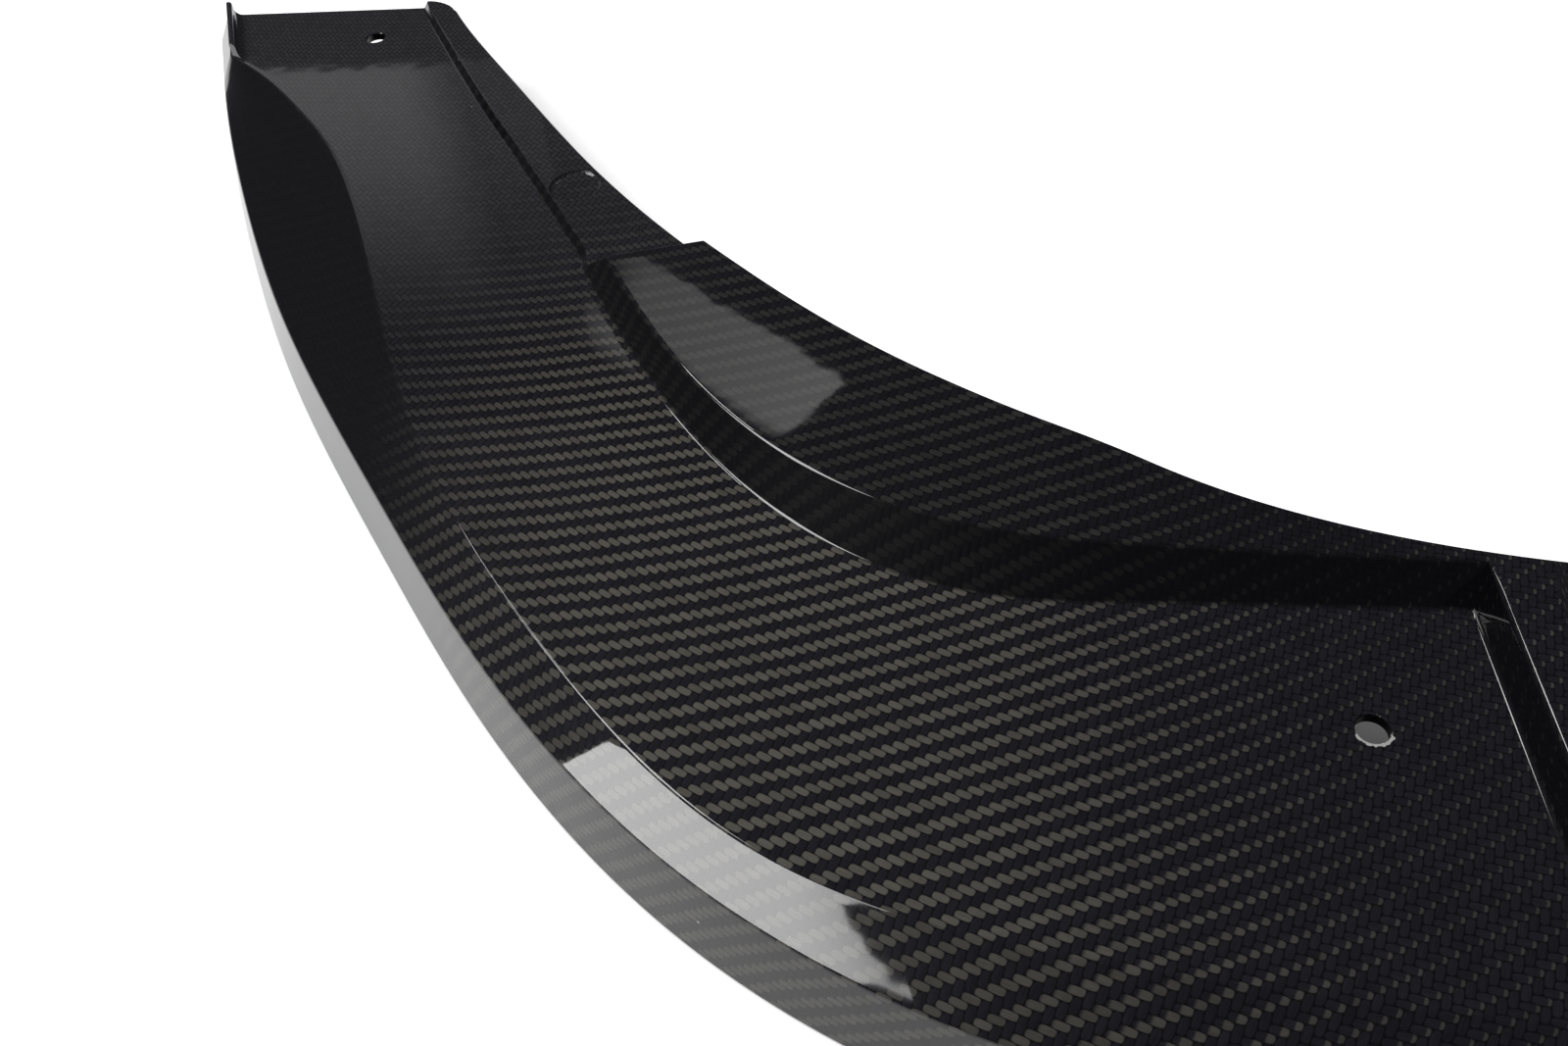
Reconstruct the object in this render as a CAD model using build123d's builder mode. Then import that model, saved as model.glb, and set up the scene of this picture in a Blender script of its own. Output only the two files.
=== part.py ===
"""Bumper valance lip: one carbon laminate shell, hollow below, with arms swept back to both sides.

Frame: +X across the car, -Y outward to the front edge of the lip, +Z up, millimetres. The lower rim
of the outer wall stands on z = 0 and the part is mirrored about x = 0. The side with negative x is
modelled, and every curve in plan is laid off square to one line, the border between wall and bevel.
"""
from math import atan2, hypot, radians, tan
import os

from build123d import *

# Overall sizes, and the thickness of the laminate
overall_width = 1770.0
overall_depth = 470.0
laminate = 3.0

# Outer wall, the bevel above it, and the rounding of their two edges
wall_height = 24.0
wall_lean = 5.0
bevel_drop = 12.0
border_radius = 2.0
crease_ease = 1.0

# Plan of the border: a straight tip, a corner that fits in a box, and a front that bows out.
# The corner's points are shares of the box, counted inward and forward from the tip
tip_run = 42.0
tip_angle = -68.6
corner_width = 437.0
corner_shape = [
    (0.121, 0.269),
    (0.211, 0.429),
    (0.346, 0.622),
    (0.458, 0.765),
    (0.597, 0.890),
    (0.730, 0.956),
]
front_bow = 10.0

# Distance along the border from the end of the tip, and three widths square to the border there:
# to the crease above the bevel, to the foot of the riser, and to the rear edge
stations = [
    (0.0, 7.0, 90.0, 102.0),
    (55.0, 29.0, 94.0, 108.0),
    (95.0, 37.0, 96.0, 113.0),
    (135.0, 38.0, 98.0, 117.0),
    (226.0, 25.5, 95.5, 125.0),
    (295.0, 15.5, 88.0, 135.0),
    (375.0, 13.0, 89.0, 150.0),
    (455.0, 11.0, 102.0, 157.0),
    (535.0, 18.5, 118.0, 152.0),
    (631.0, 20.5, 126.0, 135.0),
]
front_bevel = 20.0
front_depth = 135.0
crease_turn = 32.0

# Flange along the rear of the arm
flange_rise = 3.0
flange_run = 2.0
tip_corner_radius = 6.0

# Raised seat: a crescent round the corner from the fifth station on, and the middle of the lip.
# The runs are how far the riser leans back at the seat's stations, at its end and at the step
seat_rise = 11.0
seat_forward = 1.5
seat_first = 4
seat_runs = [4.0, 6.0, 11.0, 14.0, 10.0, 7.0]
seat_end_run = 13.0
seat_end_slant = 11.0
step_run = 2.0
step_slant = 8.0
front_margin = 45.0
seat_edge_radius = 2.0
seat_root_radius = 2.0

# Fin on the outer edge of the tip
fin_height = 6.0
fin_thickness = 2.5
fin_root_radius = 3.0
fin_edge_radius = 1.0

# Screw holes, and the shallow round spot on the flange: station and width from the border
hole_diameter = 8.0
tip_hole_station = 12.0
tip_hole_width = 67.0
front_hole_station = 600.0
front_hole_width = 87.0
spot_diameter = 19.0
spot_depth = 1.0
spot_station = 180.0
spot_width = 110.0

# How far the skins are drawn past the trimmed edges, and cuts past the faces that they open
overshoot = 25.0
cut_clearance = 1.0

# Levels, and the main points of the border
plate_level = wall_height + bevel_drop
flange_level = plate_level + flange_rise
seat_level = plate_level + seat_rise
rear_y = overall_depth / 2
border_front = wall_lean - overall_depth / 2
tip_direction = Vector(1, 0).rotate(Axis.Z, tip_angle)
tip_corner = Vector(wall_lean / -tip_direction.Y - overall_width / 2, rear_y)
tip_end = tip_corner + tip_direction * tip_run
corner_end = Vector(tip_corner.X + corner_width, border_front + front_bow)
corner_depth = rear_y - corner_end.Y
corner_points = [Vector(tip_corner.X + corner_width * u, rear_y - corner_depth * v) for u, v in corner_shape]
front_points = [corner_end, Vector(corner_end.X / 2, border_front + front_bow / 4), Vector(0, border_front)]
border = Spline(tip_end, *corner_points, *front_points, tangents=(tip_direction, (1, 0)))
front_stations = [border.length + corner_end.X / 2, border.length]


def laid_off(distance, width, level=0.0):
    """Point at a distance along the border and a width square to it; the tip runs straight before zero."""
    along = max(distance, 0.0)
    heading = border.tangent_at(along, position_mode=PositionMode.LENGTH)
    start = border.position_at(along, position_mode=PositionMode.LENGTH)
    inward = Vector(-heading.Y, heading.X)
    return start + heading * min(distance, 0.0) + inward * width + Vector(0, 0, level)


def rail(widths):
    """Points of a curve over the stations, and on at its last width to the middle of the front."""
    arm = [laid_off(station[0], width) for station, width in zip(stations, widths)]
    return arm + [laid_off(distance, widths[-1]) for distance in front_stations]


def even(width):
    """The same width at every station and along the front."""
    return [width for _ in stations] + [width]


def fold_inset(rise, run):
    """Plan distance by which the inside of a fold lies behind its outside, for one laminate thickness."""
    return laminate * tan(atan2(rise, run) / 2)


def draw_skin(widths, first_turn=0.0):
    """Closed outline from the tip along a curve to the middle, and back behind the rear edge."""
    points = rail(widths)
    start = laid_off(-tip_run - overshoot, widths[0])
    with BuildLine() as outline:
        Line(start, points[0])
        Spline(*points, tangents=(tip_direction.rotate(Axis.Z, first_turn), (1, 0)))
        Polyline(points[-1], (0, rear_y + overshoot), start)
    make_face(outline.edges())


def draw_flange(rise_share, inside):
    """Outline of the flange at its foot or its top, from the tip to just past the seat's end."""
    shift = rise_share * flange_run + inside * fold_inset(flange_rise, flange_run)
    points = [laid_off(station[0], station[2] + shift) for station in stations[: seat_first + 2]]
    start = laid_off(-tip_run - overshoot, stations[0][2] + shift)
    with BuildLine() as outline:
        Line(start, points[0])
        Spline(*points)
        Polyline(points[-1], (0, points[-1].Y), (0, rear_y + overshoot), start)
    make_face(outline.edges())


def seat_front(rise_share, inside):
    """Points along the front of the seat, the first one at its end and the last one at the step."""
    end_runs = {0: seat_end_run, len(seat_runs) - 1: step_run}
    points = []
    for index, run in enumerate(seat_runs):
        distance, _, foot, _ = stations[seat_first + index]
        if index in end_runs:
            distance += rise_share * end_runs[index] + inside * fold_inset(seat_rise, end_runs[index])
        width = foot - seat_forward + rise_share * run + inside * fold_inset(seat_rise, run)
        points.append(laid_off(distance, width))
    return points


def draw_seat(rise_share, inside):
    """Outline of the raised seat at its foot or its top, outside or inside the laminate."""
    points = seat_front(rise_share, inside)
    step_shift = rise_share * step_run + inside * fold_inset(seat_rise, step_run)
    step_end = laid_off(stations[-1][0] + step_slant + step_shift, front_margin + step_shift)
    middle = [laid_off(distance, front_margin + step_shift) for distance in front_stations]
    end_y = points[0].Y - points[0].X * tan(radians(seat_end_slant))
    with BuildLine() as outline:
        Spline(*points)
        Line(points[-1], step_end)
        Spline(step_end, *middle)
        Polyline(middle[-1], (0, end_y), points[0])
    make_face(outline.edges())


bevels = [station[1] for station in stations] + [front_bevel]
rears = [station[3] for station in stations] + [front_depth]

# Eased crease: its lower edge lies on the bevel, its upper edge on the plate
ease_drop = crease_ease / 2
ease_lower = [width * (1 - ease_drop / bevel_drop) for width in bevels]
ease_upper = [width + crease_ease for width in bevels]

# Inside of the wall and the bevel, one laminate thickness in from the outside
wall_skew = wall_lean / wall_height
bevel_slope = bevel_drop / front_bevel
wall_inset = laminate * hypot(1, wall_skew)
bevel_depth = laminate * hypot(1, bevel_slope)
inner_border = (wall_inset - wall_skew * bevel_depth) / (1 - wall_skew * bevel_slope)
inner_border_level = wall_height + bevel_slope * inner_border - bevel_depth
inner_rim = wall_inset - wall_skew * (wall_height + cut_clearance)
inner_bevels = [width + fold_inset(bevel_drop, width) for width in bevels]

# Fin: its section carried along the tip and cut off where the bevel begins
fin_root = fin_thickness + fin_root_radius
fin_start = laid_off(-tip_run - overshoot, ease_upper[0], plate_level)
fin_plane = Plane(fin_start, x_dir=tip_direction.rotate(Axis.Z, 90), z_dir=tip_direction)
with BuildPart() as fin:
    with BuildSketch(fin_plane) as fin_section:
        with BuildLine():
            Polyline((fin_root, 0), (fin_root, -laminate / 2), (0, -laminate / 2), (0, fin_height))
            Polyline((0, fin_height), (fin_thickness, fin_height), (fin_thickness, fin_root_radius))
            CenterArc((fin_root, fin_root_radius), fin_root_radius, 180, 90)
        make_face()
        fillet(fin_section.vertices().group_by(Axis.Y)[-1], fin_edge_radius)
    extrude(amount=overshoot + tip_run * 2)
    with BuildSketch(Plane.XY.offset(plate_level - laminate)):
        draw_skin(ease_upper, crease_turn)
    extrude(amount=laminate + fin_height + cut_clearance, mode=Mode.INTERSECT)

with BuildPart() as shell:
    # Outer skin: wall, bevel, eased crease and plate
    outer_levels = [
        (0.0, even(-wall_lean), 0.0),
        (wall_height, even(0.0), 0.0),
        (plate_level - ease_drop, ease_lower, crease_turn),
        (plate_level, ease_upper, crease_turn),
    ]
    for level, widths, turn in outer_levels:
        with BuildSketch(Plane.XY.offset(level)):
            draw_skin(widths, turn)
    loft(ruled=True)
    border_points = [laid_off(-tip_run, 0, wall_height), laid_off(stations[seat_first][0], 0, wall_height)]
    fillet([shell.edges().sort_by_distance(point)[0] for point in border_points], border_radius)

    # Flange and raised seat on the plate
    for level, share in ((plate_level, 0), (flange_level, 1)):
        with BuildSketch(Plane.XY.offset(level)):
            draw_flange(share, 0)
    loft(ruled=True)
    for level, share in ((plate_level, 0), (seat_level, 1)):
        with BuildSketch(Plane.XY.offset(level)):
            draw_seat(share, 0)
    loft(ruled=True)
    top_edges = shell.faces().sort_by(Axis.Z)[-1].edges()
    fillet([edge for edge in top_edges if edge.bounding_box().min.X < -cut_clearance], seat_edge_radius)
    foot = seat_front(0, 0)
    step_foot = laid_off(stations[-1][0] + step_slant, front_margin)
    middle_foot = laid_off(front_stations[0], front_margin)
    root_points = [foot[len(foot) // 2], (foot[-1] + step_foot) / 2, middle_foot]
    root_edges = [shell.edges().sort_by_distance(point + Vector(0, 0, plate_level))[0] for point in root_points]
    fillet(root_edges, seat_root_radius)

    # Hollow below
    inner_levels = [
        (-cut_clearance, even(inner_rim), 0.0),
        (inner_border_level, even(inner_border), 0.0),
        (plate_level - laminate, inner_bevels, crease_turn),
    ]
    for level, widths, turn in inner_levels:
        with BuildSketch(Plane.XY.offset(level)):
            draw_skin(widths, turn)
    loft(ruled=True, mode=Mode.SUBTRACT)
    for level, share in ((plate_level, 0), (flange_level, 1)):
        with BuildSketch(Plane.XY.offset(level - laminate)):
            draw_flange(share, 1)
    loft(ruled=True, mode=Mode.SUBTRACT)
    for level, share in ((plate_level, 0), (seat_level, 1)):
        with BuildSketch(Plane.XY.offset(level - laminate)):
            draw_seat(share, 1)
    loft(ruled=True, mode=Mode.SUBTRACT)

    # Fin, then the trim behind the rear edge and square across the tip
    add(fin.part)
    rear_points = [laid_off(-tip_run - overshoot, rears[0])] + rail(rears)
    with BuildSketch(Plane.XY.offset(-cut_clearance)):
        with BuildLine():
            Spline(*rear_points)
            Polyline(rear_points[-1], (0, overall_depth), (rear_points[0].X, overall_depth), rear_points[0])
        make_face()
        with Locations(tip_corner):
            Rectangle(overall_width, overall_depth, align=(Align.CENTER, Align.MIN))
    extrude(amount=seat_level + fin_height + 2 * cut_clearance, mode=Mode.SUBTRACT)
    flange_corner = rear_points[1] + Vector(0, 0, flange_level)
    fillet(shell.edges().filter_by(Axis.Z).sort_by_distance(flange_corner)[0], tip_corner_radius)

    # Screw holes, and the shallow round spot on the flange
    with Locations(laid_off(tip_hole_station, tip_hole_width), laid_off(front_hole_station, front_hole_width)):
        Hole(hole_diameter / 2, depth=2 * seat_level)
    with BuildSketch(Plane.XY.offset(flange_level - spot_depth)):
        with Locations(laid_off(spot_station, spot_width)):
            Circle(spot_diameter / 2)
    extrude(amount=spot_depth + cut_clearance, mode=Mode.SUBTRACT)

    mirror(about=Plane.YZ)

shell.part.label = "valance_lip"
os.makedirs("parts", exist_ok=True)
export_step(shell.part, "parts/valance_lip.step")
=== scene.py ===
"""Looks of a bumper valance lip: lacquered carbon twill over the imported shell, in the CAD's own frame."""
import math

import bmesh
import bpy
import numpy as np
from mathutils import Matrix, Vector


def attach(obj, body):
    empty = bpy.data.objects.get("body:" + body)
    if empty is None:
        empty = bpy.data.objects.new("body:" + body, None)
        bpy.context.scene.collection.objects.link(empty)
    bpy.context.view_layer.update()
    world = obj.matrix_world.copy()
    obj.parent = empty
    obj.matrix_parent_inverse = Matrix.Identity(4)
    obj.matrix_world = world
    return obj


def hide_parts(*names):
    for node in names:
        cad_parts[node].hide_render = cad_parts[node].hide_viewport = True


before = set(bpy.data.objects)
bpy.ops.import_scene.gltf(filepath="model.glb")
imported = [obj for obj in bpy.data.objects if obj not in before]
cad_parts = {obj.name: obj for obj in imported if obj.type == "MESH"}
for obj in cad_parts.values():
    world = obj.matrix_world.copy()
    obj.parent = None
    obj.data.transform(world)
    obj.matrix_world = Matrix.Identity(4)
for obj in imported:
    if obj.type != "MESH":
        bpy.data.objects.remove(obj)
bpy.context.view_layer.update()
MM = 0.001

# Sizes of the shell in millimetres, as in the CAD source
WIDTH, DEPTH, LAMINATE = 1770.0, 470.0, 3.0
WALL, LEAN, BEVEL_DROP = 24.0, 5.0, 12.0
TIP_RUN, TIP_ANGLE = 42.0, math.radians(-68.6)
CORNER_WIDTH, FRONT_BOW = 437.0, 10.0
CORNER = [(0.121, 0.269), (0.211, 0.429), (0.346, 0.622), (0.458, 0.765), (0.597, 0.890), (0.730, 0.956)]
STATIONS = [0, 55, 95, 135, 226, 295, 375, 455, 535, 631]
BEVELS = [7.0, 29.0, 37.0, 38.0, 25.5, 15.5, 13.0, 11.0, 18.5, 20.5]
FEET = [90.0, 94.0, 96.0, 98.0, 95.5, 88.0, 89.0, 102.0, 118.0, 126.0]
REARS = [102.0, 108.0, 113.0, 117.0, 125.0, 135.0, 150.0, 157.0, 152.0, 135.0]
FRONT_BEVEL, FRONT_DEPTH, FRONT_MARGIN = 20.0, 135.0, 45.0
CREASE_TURN = math.radians(32.0)
PLATE, FLANGE, SEAT = 36.0, 39.0, 47.0
FLANGE_RUN, SEAT_FORWARD, SEAT_FIRST = 2.0, 1.5, 4
SEAT_RUNS = [4.0, 6.0, 11.0, 14.0, 10.0, 7.0]
SEAT_END_RUN, SEAT_END_SLANT = 13.0, math.radians(11.0)
STEP_RUN, STEP_SLANT = 2.0, 8.0
TIP_ROUND = 6.0
FIN_HEIGHT, FIN_THICKNESS, FIN_ROOT, FIN_EDGE = 6.0, 2.5, 3.0, 1.0
HOLE_RADIUS, SPOT_RADIUS, SPOT_DEPTH = 4.0, 9.5, 1.0
TIP_HOLE, FRONT_HOLE, SPOT = (12.0, 67.0), (600.0, 87.0), (180.0, 110.0)


def cubic(knots, values, first=None, last=None):
    """Cubic spline through values at knots, with end slopes where given and free ends where not."""
    x = np.asarray(knots, float)
    y = np.asarray(values, float)
    n = len(x)
    gap = np.diff(x)
    rise = (np.diff(y, axis=0).T / gap).T
    system = np.zeros((n, n))
    right = np.zeros_like(y)
    for i in range(1, n - 1):
        system[i, i - 1], system[i, i], system[i, i + 1] = gap[i], 2 * (gap[i - 1] + gap[i]), gap[i - 1]
        right[i] = 3 * (gap[i] * rise[i - 1] + gap[i - 1] * rise[i])
    system[0, 0] = system[-1, -1] = 1.0
    if first is None:
        system[0, 0], system[0, 1], right[0] = 2.0, 1.0, 3 * rise[0]
    else:
        right[0] = first
    if last is None:
        system[-1, -1], system[-1, -2], right[-1] = 2.0, 1.0, 3 * rise[-1]
    else:
        right[-1] = last
    slope = np.linalg.solve(system, right)

    def at(where):
        w = np.clip(np.asarray(where, float), x[0], x[-1])
        k = np.clip(np.searchsorted(x, w) - 1, 0, n - 2)
        h = gap[k]
        t = (w - x[k]) / h
        if y.ndim > 1:
            h, t = h[..., None], t[..., None]
        a, b = y[k], y[k + 1]
        return (
            a * (1 + 2 * t) * (1 - t) ** 2 + b * t * t * (3 - 2 * t)
            + h * (slope[k] * t * (1 - t) ** 2 - slope[k + 1] * t * t * (1 - t))
        )

    return at


# The border between wall and bevel, in plan, with its length measured along it
rear_y = DEPTH / 2
front_y = LEAN - DEPTH / 2
tip_heading = np.array([math.cos(TIP_ANGLE), math.sin(TIP_ANGLE)])
tip_corner = np.array([LEAN / -tip_heading[1] - WIDTH / 2, rear_y])
tip_end = tip_corner + tip_heading * TIP_RUN
corner_end = np.array([tip_corner[0] + CORNER_WIDTH, front_y + FRONT_BOW])
corner_depth = rear_y - corner_end[1]
border_points = [tip_end]
border_points += [
    np.array([tip_corner[0] + CORNER_WIDTH * u, rear_y - corner_depth * v]) for u, v in CORNER
]
half_way = np.array([corner_end[0] / 2, front_y + FRONT_BOW / 4])
border_points += [corner_end, half_way, np.array([0.0, front_y])]
chords = np.linalg.norm(np.diff(border_points, axis=0), axis=1)
border_knots = np.concatenate([[0], np.cumsum(chords)])
border_curve = cubic(border_knots, border_points, tip_heading, np.array([1.0, 0.0]))
dense = border_curve(np.linspace(0, border_knots[-1], 8001))
steps = np.diff(dense, axis=0)
arc = np.concatenate([[0], np.cumsum(np.linalg.norm(steps, axis=1))])
headings = np.gradient(dense, arc, axis=0)
headings[0], headings[-1] = tip_heading, (1.0, 0.0)
LENGTH = arc[-1]


def laid_off(s, w):
    """Plan points at distances along the border and widths square to it, straight on before its start."""
    s, w = np.broadcast_arrays(np.asarray(s, float), np.asarray(w, float))
    along = np.maximum(s, 0.0)
    before = np.minimum(s, 0.0)
    x, y = (np.interp(along, arc, dense[:, i]) for i in (0, 1))
    hx, hy = (np.interp(along, arc, headings[:, i]) for i in (0, 1))
    size = np.hypot(hx, hy)
    hx, hy = hx / size, hy / size
    return np.stack([x + hx * before - hy * w, y + hy * before + hx * w], -1)


front_stations = [LENGTH + corner_end[0] / 2, LENGTH]
all_stations = STATIONS + front_stations
bevel_width = cubic(all_stations, BEVELS + [FRONT_BEVEL] * 2, math.tan(CREASE_TURN), 0.0)
rear_width = cubic(all_stations, REARS + [FRONT_DEPTH] * 2, 0.06, 0.0)
flange_foot = cubic(STATIONS[: SEAT_FIRST + 2], FEET[: SEAT_FIRST + 2])
seat_feet = [foot - SEAT_FORWARD for foot in FEET[SEAT_FIRST:]]
seat_tops = [foot + run for foot, run in zip(seat_feet, SEAT_RUNS)]
top_stations = list(STATIONS[SEAT_FIRST:])
pad_end = STATIONS[SEAT_FIRST]
step_start = STATIONS[-1]
pad_top_start = pad_end + SEAT_END_RUN
top_stations[0], top_stations[-1] = pad_top_start, step_start + STEP_RUN
seat_foot = cubic(STATIONS[SEAT_FIRST:], seat_feet)
seat_top = cubic(top_stations, seat_tops)

# Columns of the mesh: how far along the border each stands, closer where the shape changes
tip_reach = float(STATIONS[1])
tip_columns = np.linspace(0, 1, 31) ** 1.3
step_columns = 13
pad_ramp_start = pad_end + SEAT_END_RUN * (FLANGE - PLATE) / (SEAT - PLATE)
arm_columns = np.concatenate([
    np.arange(tip_reach + 3, pad_end - 6, 3.0),
    np.linspace(pad_end - 6, pad_ramp_start, 6),
    np.linspace(pad_ramp_start + 0.5, pad_top_start - 0.6, 7),
    pad_top_start + np.array([-0.3, 0.0, 0.4, 1.0]),
    np.linspace(pad_top_start + 4, step_start - 3.2, 131),
])
step_shares = np.linspace(0.038, 0.975, step_columns)
step_base = step_start - 2.4 + STEP_SLANT * step_shares
step_base = np.concatenate([[step_start - 2.55], step_base, step_start + np.array([6.4, 10.0])])
middle_columns = np.linspace(step_start + 22, LENGTH, 66)
tip_base = -TIP_RUN + (tip_reach + TIP_RUN) * tip_columns
nominal = np.concatenate([tip_base, arm_columns, step_base, middle_columns])
count = len(nominal)
is_tip = np.arange(count) < len(tip_columns)
first_step = len(tip_columns) + len(arm_columns)
is_step = (np.arange(count) >= first_step) & (np.arange(count) < first_step + len(step_base))
is_middle = np.arange(count) >= first_step + len(step_base)
tip_share = np.ones(count)
tip_share[is_tip] = tip_columns
# The tip is cut square across the car, so a row starts later the further in it lies
tip_skew = -1 / math.tan(TIP_ANGLE)


def spot_along(w):
    """Distance along the border for each column in the row that has these widths."""
    start = -TIP_RUN + tip_skew * w
    return np.where(is_tip, start + (tip_reach - start) * tip_share, nominal)


def settle(width_at):
    """Distances and widths of a row whose width depends on the distance."""
    w = width_at(nominal)
    for _ in range(4):
        s = spot_along(w)
        w = width_at(s)
    return s, w


def smooth_step(x, low, high):
    t = np.clip((x - low) / (high - low), 0, 1)
    return t * t * (3 - 2 * t)


# Levels behind the riser: flange, the pad's sloping end, then the seat
level = np.interp(nominal, [pad_ramp_start, pad_top_start - 0.6, pad_top_start, pad_top_start + 0.7],
                  [FLANGE, SEAT - 0.5, SEAT - 0.12, SEAT])
to_seat = smooth_step(nominal, pad_end - 4, pad_ramp_start)
rise = level - PLATE


def foot_width(s):
    return np.where(s < pad_end, flange_foot(s), seat_foot(s))


foot_s, foot_w = settle(foot_width)
foot_w = foot_w - SEAT_FORWARD * to_seat * (nominal < pad_end)
corner_w = seat_feet[0] + SEAT_RUNS[0] * rise / (SEAT - PLATE)
flange_top = foot_w + FLANGE_RUN
on_seat = nominal >= pad_top_start
top_w = np.where(on_seat, seat_top(nominal), flange_top + (corner_w - flange_top) * to_seat)
# The pad's end runs across the car at a slant, so rows behind the riser lean along the border there
end_heading = math.atan2(*(laid_off(pad_end + 1, 0) - laid_off(pad_end - 1, 0))[::-1])
end_skew = math.tan(end_heading + math.pi / 2 - SEAT_END_SLANT)
lean_share = smooth_step(nominal, 120, pad_end - 10) * (1 - smooth_step(nominal, pad_top_start + 10, 340))
top_s = np.where(is_tip, spot_along(top_w), nominal + end_skew * (top_w - foot_w) * lean_share)
top_s = top_s + STEP_RUN * smooth_step(nominal, step_start - 40, step_start) * ~is_step * ~is_middle
foot_plan = laid_off(foot_s, foot_w)
top_plan = laid_off(top_s, top_w)
rear_s = spot_along(rear_width(nominal))
rear_s = np.where(is_tip, rear_s, nominal + end_skew * (rear_width(nominal) - foot_w) * lean_share)
rear_s[is_step] = np.linspace(step_start + 3, step_start + 20, is_step.sum())
rear_s = rear_s + 2.5 * smooth_step(nominal, step_start - 40, step_start) * ~is_step * ~is_middle
rear_plan = laid_off(rear_s, rear_width(rear_s))

# The step: the riser turns and runs forward, then turns again along the front
step_foot_start = laid_off(step_start, seat_feet[-1])
step_foot_end = laid_off(step_start + STEP_SLANT, FRONT_MARGIN)
step_top_start = laid_off(step_start + STEP_RUN, seat_tops[-1])
step_top_end = laid_off(step_start + STEP_SLANT + STEP_RUN, FRONT_MARGIN + STEP_RUN)
step_line = step_foot_end - step_foot_start
step_line = step_line / np.linalg.norm(step_line)
across_step = np.array([-step_line[1], step_line[0]])
run_start = (step_top_start - step_foot_start) @ across_step
run_end = (step_top_end - step_foot_start) @ across_step
foot_plan[first_step], top_plan[first_step] = step_foot_start, step_top_start
for k, share in enumerate(step_shares):
    i = first_step + 1 + k
    foot_plan[i] = step_foot_start + (step_foot_end - step_foot_start) * share
    top_plan[i] = foot_plan[i] + across_step * (run_start + (run_end - run_start) * share)
turn_columns = [first_step + step_columns + k for k in range(3)]
foot_plan[turn_columns[1]] = step_foot_end
foot_plan[turn_columns[2]] = laid_off(step_start + STEP_SLANT + STEP_RUN, FRONT_MARGIN)
top_plan[turn_columns] = step_top_end
foot_plan[is_middle] = laid_off(nominal[is_middle], FRONT_MARGIN)
top_plan[is_middle] = laid_off(nominal[is_middle], FRONT_MARGIN + STEP_RUN)
level[nominal > pad_top_start + 1] = SEAT
rise = level - PLATE

# The flange's corner at the tip is rounded: the first columns end on an arc instead of the edge
tip_back = rear_width(0.0)
corner_s = -TIP_RUN + tip_skew * tip_back
sharp = laid_off(corner_s, tip_back)
reach = TIP_ROUND / math.tan(-TIP_ANGLE / 2)
arc_from = sharp + np.array([-1.0, 0.0]) * reach
arc_to = sharp + tip_heading * reach
arc_turn = math.cos((math.pi + TIP_ANGLE) / 2)
rounded = 9
for i in range(rounded):
    t = i / (rounded - 1)
    weights = np.array([(1 - t) ** 2, 2 * t * (1 - t) * arc_turn, t * t])
    rear_plan[i] = (weights @ np.array([arc_from, sharp, arc_to])) / weights.sum()

rows = []


def add_row(plan, z, cloth, zone=(0.0, 0.0)):
    """One row of the mesh: plan points, heights, the flat cloth's place, and shares of slope and riser."""
    heights = np.broadcast_to(np.asarray(z, float), (count,)).copy()
    rows.append((np.asarray(plan, float), heights, np.asarray(cloth, float), zone))


def arc_points(a, b, c, share):
    """Point of the round arc that leaves a towards b and arrives at c, all given as (along, up) pairs."""
    a, b, c = (np.stack(np.broadcast_arrays(*p), -1) for p in (a, b, c))
    to_a, to_c = a - b, c - b
    turn = (to_a * to_c).sum(-1) / (np.linalg.norm(to_a, axis=-1) * np.linalg.norm(to_c, axis=-1) + 1e-12)
    bulge = np.sqrt(np.clip((1 - turn) / 2, 0, 1))[..., None]
    wa, wb, wc = (1 - share) ** 2, 2 * share * (1 - share) * bulge, share ** 2
    return (wa * a + wb * b + wc * c) / (wa + wb + wc)


def profile_row(w, z, unrolled, slope=1.0):
    """A row given by its width from the border and its width on the unrolled cloth."""
    s = spot_along(w)
    add_row(laid_off(s, w), z, laid_off(s, unrolled), (slope, 0.0))


_, crease_w = settle(bevel_width)
skew = LEAN / WALL
rim_inside = -LEAN + LAMINATE * math.hypot(1, skew)
slope_length = np.hypot(crease_w, BEVEL_DROP)
wall_length = math.hypot(LEAN, WALL)
border_cloth = crease_w - slope_length


def wall_cloth(z):
    return border_cloth - wall_length * (1 - z / WALL)


RIM_EASE = 0.4
ones = np.ones(count)
profile_row(rim_inside * ones, 0.0, wall_cloth(0.0) - LAMINATE)
profile_row((-LEAN + RIM_EASE) * ones, 0.0, wall_cloth(0.0) - RIM_EASE)
for z in (RIM_EASE, 1.2, 8.0, 15.0):
    profile_row(-LEAN * (1 - z / WALL) * ones, z, wall_cloth(z))
BORDER_ROUND = 2.0
wall_turn = math.atan2(WALL, LEAN)
bevel_turn = np.arctan2(BEVEL_DROP, crease_w)
border_cut = BORDER_ROUND * np.tan((wall_turn - bevel_turn) / 2)
low = (-border_cut * math.cos(wall_turn), WALL - border_cut * math.sin(wall_turn))
high = (border_cut * np.cos(bevel_turn), WALL + border_cut * np.sin(bevel_turn))
below = WALL - border_cut * math.sin(wall_turn) - 0.8
profile_row(-LEAN * (1 - below / WALL), below, wall_cloth(below))
for share in np.linspace(0, 1, 6):
    at = arc_points(low, (0.0 * ones, WALL), high, share)
    profile_row(at[:, 0], at[:, 1], border_cloth + border_cut * (2 * share - 1))
CREASE_ROUND = 0.5
crease_low = 1 - CREASE_ROUND / BEVEL_DROP
for share in (0.12, 0.3, 0.5, 0.7, 0.88, 1.0):
    start = high[0] / crease_w
    part = start + (crease_low - start) * share
    profile_row(crease_w * part, WALL + BEVEL_DROP * part, border_cloth + slope_length * part)
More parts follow.
